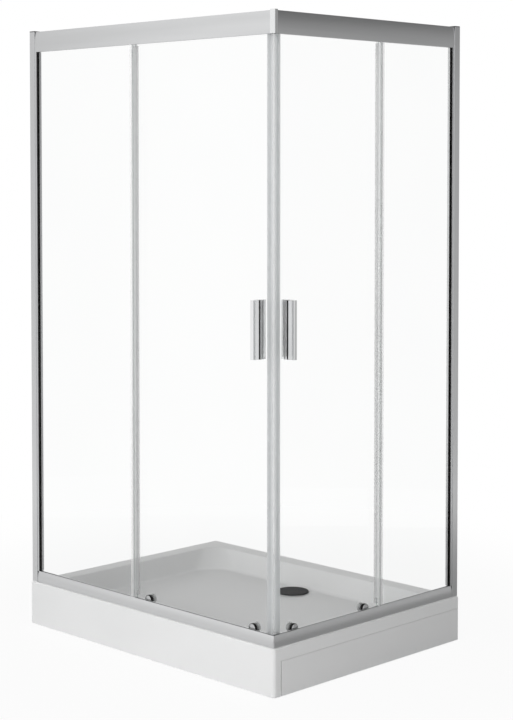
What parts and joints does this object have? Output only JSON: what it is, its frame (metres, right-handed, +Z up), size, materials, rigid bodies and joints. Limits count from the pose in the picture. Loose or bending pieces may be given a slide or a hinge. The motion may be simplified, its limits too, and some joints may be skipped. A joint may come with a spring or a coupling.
{
  "type": "corner shower enclosure",
  "caption": "Rectangular corner shower enclosure on a low tray, framed in aluminium, with fixed glass panels and sliding glass doors that meet at the entry corner.",
  "frame": {"origin": "middle of the rectangular footprint, on the floor", "axes": "+X along the long side, +Y along the short side, +Z up; the doors meet at the +X, -Y corner"},
  "size_m": [1.2, 0.9, 2.093],
  "materials": {
    "acrylic": "gloss white acrylic",
    "painted_steel": "grey powder coat",
    "zinc_steel": "zinc plated",
    "black_plastic": "moulded black plastic",
    "grey_plastic": "moulded grey plastic",
    "clear_plastic": "clear moulded plastic",
    "drain_steel": "satin stainless steel",
    "dark_chrome": "dark chrome",
    "satin_aluminium": "satin anodised",
    "chrome": "bright chrome",
    "clear_glass": "clear tempered glass",
    "clear_seal": "translucent vinyl",
    "black_rubber": "black rubber",
    "white_nylon": "white nylon"
  },
  "bodies": {
    "enclosure": {"tray_shell": "acrylic", "access_panel": "acrylic", "frame_long_tubes": "painted_steel", "frame_cross_tubes": "painted_steel", "leg_rods": "zinc_steel", "leg_nuts": "zinc_steel", "frame_screws": "zinc_steel", "leg_feet": "black_plastic", "profile_caps": "black_plastic", "bottom_corner_block": "black_plastic", "door_stops": "black_plastic", "drain_trap": "grey_plastic", "drain_flange": "drain_steel", "bottom_rail_long": "satin_aluminium", "bottom_rail_short": "satin_aluminium", "top_rail_long": "satin_aluminium", "top_rail_short": "satin_aluminium", "wall_profile_long": "satin_aluminium", "wall_profile_short": "satin_aluminium", "panel_profile_long": "satin_aluminium", "panel_profile_short": "satin_aluminium", "top_corner_block": "chrome", "fixed_glass_long": "clear_glass", "fixed_glass_short": "clear_glass", "fixed_edge_seal_long": "clear_seal", "fixed_edge_seal_short": "clear_seal", "glass_gaskets": "black_rubber"},
    "door_long": {"door_glass_long": "clear_glass", "magnet_seal_long": "clear_seal", "door_edge_seal_long": "clear_seal", "outer_handle_long": "chrome", "inner_handle_long": "chrome", "handle_studs_long": "zinc_steel", "rubber_seats_long": "black_rubber", "roller_caps_long": "chrome", "roller_mounts_long": "clear_plastic"},
    "top_wheel_long_front": {"top_wheel_long_front": "white_nylon"},
    "roller_carriage_long_front": {"roller_carriage_long_front": "clear_plastic"},
    "bottom_wheel_long_front": {"bottom_wheel_long_front": "white_nylon"},
    "top_wheel_long_rear": {"top_wheel_long_rear": "white_nylon"},
    "roller_carriage_long_rear": {"roller_carriage_long_rear": "clear_plastic"},
    "bottom_wheel_long_rear": {"bottom_wheel_long_rear": "white_nylon"},
    "door_short": {"door_glass_short": "clear_glass", "magnet_seal_short": "clear_seal", "door_edge_seal_short": "clear_seal", "outer_handle_short": "chrome", "inner_handle_short": "chrome", "handle_studs_short": "zinc_steel", "rubber_seats_short": "black_rubber", "roller_caps_short": "chrome", "roller_mounts_short": "clear_plastic"},
    "top_wheel_short_front": {"top_wheel_short_front": "white_nylon"},
    "roller_carriage_short_front": {"roller_carriage_short_front": "clear_plastic"},
    "bottom_wheel_short_front": {"bottom_wheel_short_front": "white_nylon"},
    "top_wheel_short_rear": {"top_wheel_short_rear": "white_nylon"},
    "roller_carriage_short_rear": {"roller_carriage_short_rear": "clear_plastic"},
    "bottom_wheel_short_rear": {"bottom_wheel_short_rear": "white_nylon"},
    "drain_cover": {"drain_cover": "dark_chrome"}
  },
  "joints": [
    {"name": "door_long_slide", "type": "slide", "parent": "enclosure", "child": "door_long", "axis": [-1, 0, 0], "range_m": [0, 0.486]},
    {"name": "top_wheel_long_front_spin", "type": "hinge", "parent": "door_long", "child": "top_wheel_long_front", "pos_m": [0.481, -0.4028, 2.0621], "axis": [0, -1, 0], "range_deg": [0, 2588]},
    {"name": "roller_carriage_long_front_lift", "type": "slide", "parent": "door_long", "child": "roller_carriage_long_front", "axis": [0, 0, 1], "range_m": [0, 0.006], "stiffness_N_per_m": 500},
    {"name": "bottom_wheel_long_front_spin", "type": "hinge", "parent": "roller_carriage_long_front", "child": "bottom_wheel_long_front", "pos_m": [0.481, -0.4028, 0.1921], "axis": [0, -1, 0], "range_deg": [0, 2588]},
    {"name": "top_wheel_long_rear_spin", "type": "hinge", "parent": "door_long", "child": "top_wheel_long_rear", "pos_m": [-0.005, -0.4028, 2.0621], "axis": [0, -1, 0], "range_deg": [0, 2588]},
    {"name": "roller_carriage_long_rear_lift", "type": "slide", "parent": "door_long", "child": "roller_carriage_long_rear", "axis": [0, 0, 1], "range_m": [0, 0.006], "stiffness_N_per_m": 500},
    {"name": "bottom_wheel_long_rear_spin", "type": "hinge", "parent": "roller_carriage_long_rear", "child": "bottom_wheel_long_rear", "pos_m": [-0.005, -0.4028, 0.1921], "axis": [0, -1, 0], "range_deg": [0, 2588]},
    {"name": "door_short_slide", "type": "slide", "parent": "enclosure", "child": "door_short", "axis": [0, 1, 0], "range_m": [0, 0.341]},
    {"name": "top_wheel_short_front_spin", "type": "hinge", "parent": "door_short", "child": "top_wheel_short_front", "pos_m": [0.5528, -0.331, 2.0621], "axis": [-1, 0, 0], "range_deg": [0, 1819]},
    {"name": "roller_carriage_short_front_lift", "type": "slide", "parent": "door_short", "child": "roller_carriage_short_front", "axis": [0, 0, 1], "range_m": [0, 0.006], "stiffness_N_per_m": 500},
    {"name": "bottom_wheel_short_front_spin", "type": "hinge", "parent": "roller_carriage_short_front", "child": "bottom_wheel_short_front", "pos_m": [0.5528, -0.331, 0.1921], "axis": [-1, 0, 0], "range_deg": [0, 1819]},
    {"name": "top_wheel_short_rear_spin", "type": "hinge", "parent": "door_short", "child": "top_wheel_short_rear", "pos_m": [0.5528, 0, 2.0621], "axis": [-1, 0, 0], "range_deg": [0, 1819]},
    {"name": "roller_carriage_short_rear_lift", "type": "slide", "parent": "door_short", "child": "roller_carriage_short_rear", "axis": [0, 0, 1], "range_m": [0, 0.006], "stiffness_N_per_m": 500},
    {"name": "bottom_wheel_short_rear_spin", "type": "hinge", "parent": "roller_carriage_short_rear", "child": "bottom_wheel_short_rear", "pos_m": [0.5528, 0, 0.1921], "axis": [-1, 0, 0], "range_deg": [0, 1819]},
    {"name": "drain_cover_lift", "type": "slide", "parent": "enclosure", "child": "drain_cover", "axis": [0, 0, 1], "range_m": [0, 0.05]}
  ],
  "couplings": [
    {"joint": "top_wheel_long_front_spin", "follows": "door_long_slide", "rad_per_m": 92.593},
    {"joint": "bottom_wheel_long_front_spin", "follows": "door_long_slide", "rad_per_m": 92.593},
    {"joint": "top_wheel_long_rear_spin", "follows": "door_long_slide", "rad_per_m": 92.593},
    {"joint": "bottom_wheel_long_rear_spin", "follows": "door_long_slide", "rad_per_m": 92.593},
    {"joint": "top_wheel_short_front_spin", "follows": "door_short_slide", "rad_per_m": 92.593},
    {"joint": "bottom_wheel_short_front_spin", "follows": "door_short_slide", "rad_per_m": 92.593},
    {"joint": "top_wheel_short_rear_spin", "follows": "door_short_slide", "rad_per_m": 92.593},
    {"joint": "bottom_wheel_short_rear_spin", "follows": "door_short_slide", "rad_per_m": 92.593}
  ]
}
